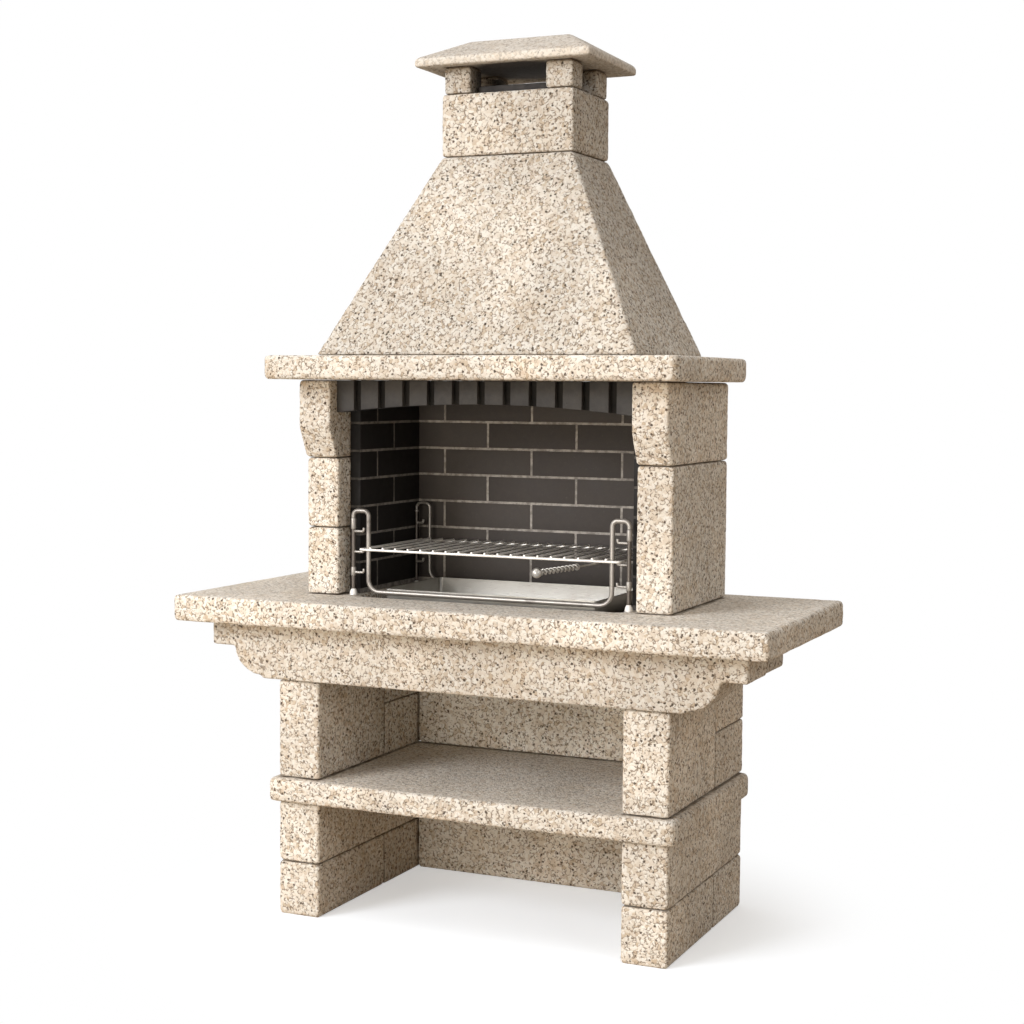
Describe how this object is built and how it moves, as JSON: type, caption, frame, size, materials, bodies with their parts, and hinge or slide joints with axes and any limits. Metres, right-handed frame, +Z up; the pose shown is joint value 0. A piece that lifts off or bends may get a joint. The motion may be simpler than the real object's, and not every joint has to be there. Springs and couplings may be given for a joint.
{
  "type": "outdoor masonry barbecue",
  "caption": "Free-standing masonry barbecue of cast-stone blocks with a shelved niche, brick-lined firebox, pull-out rod grill, lift-out fire tray, tapered hood and capped chimney.",
  "frame": {"origin": "on the floor under the middle of the table slab, which is also the middle of the whole object seen from above", "axes": "+Z up, +X to the right of a person who stands before the open firebox, and the open front faces -Y"},
  "size_m": [1.49, 0.648, 2.1146],
  "materials": {
    "cast_stone": "rough bush-hammered artificial stone with exposed aggregate",
    "firebrick": "smooth dark firebrick with thin light mortar joints",
    "lintel_brick": "dark grey upright bricks",
    "refractory": "matt refractory concrete",
    "flue_cement": "matt cement",
    "tray_steel": "satin stainless sheet",
    "rod_steel": "bright drawn rod"
  },
  "bodies": {
    "masonry": {"leg_left_base_front": "cast_stone", "leg_left_base_rear": "cast_stone", "leg_left_middle": "cast_stone", "leg_left_upper_front": "cast_stone", "leg_left_upper_rear_low": "cast_stone", "leg_left_upper_rear_high": "cast_stone", "leg_right_base_front": "cast_stone", "leg_right_base_rear": "cast_stone", "leg_right_middle": "cast_stone", "leg_right_upper_front": "cast_stone", "leg_right_upper_rear_low": "cast_stone", "leg_right_upper_rear_high": "cast_stone", "niche_wall_lower": "cast_stone", "niche_wall_upper": "cast_stone", "shelf_slab": "cast_stone", "front_beam": "cast_stone", "rear_beam": "cast_stone", "table_slab": "cast_stone", "pillar_left_lower": "cast_stone", "pillar_left_upper": "cast_stone", "pillar_right": "cast_stone", "corbel_left": "cast_stone", "corbel_right": "cast_stone", "mantel_slab": "cast_stone", "hood": "cast_stone", "chimney_block": "cast_stone", "cap_block_front_left": "cast_stone", "cap_block_front_right": "cast_stone", "cap_block_rear_left": "cast_stone", "cap_block_rear_right": "cast_stone", "chimney_cap": "cast_stone", "lining_left": "firebrick", "lining_right": "firebrick", "lining_back": "firebrick", "lintel": "lintel_brick", "hearth_slab": "refractory", "flue_liner": "flue_cement", "front_guard_rod": "rod_steel", "rear_guard_rod": "rod_steel", "front_post_left": "rod_steel", "front_post_right": "rod_steel", "front_foot_left": "rod_steel", "front_foot_right": "rod_steel", "rear_post_left": "rod_steel", "rear_post_right": "rod_steel", "rear_foot_left": "rod_steel", "rear_foot_right": "rod_steel"},
    "grill": {"grill": "rod_steel", "handle_rod": "rod_steel", "handle_coil": "rod_steel", "handle_knob": "rod_steel"},
    "tray": {"fire_tray": "tray_steel"}
  },
  "joints": [
    {"name": "grill_slide", "type": "slide", "parent": "masonry", "child": "grill", "axis": [0, -1, 0], "range_m": [0, 0.28]},
    {"name": "tray_lift", "type": "slide", "parent": "masonry", "child": "tray", "axis": [0, 0, 1], "range_m": [0, 0.045]}
  ]
}
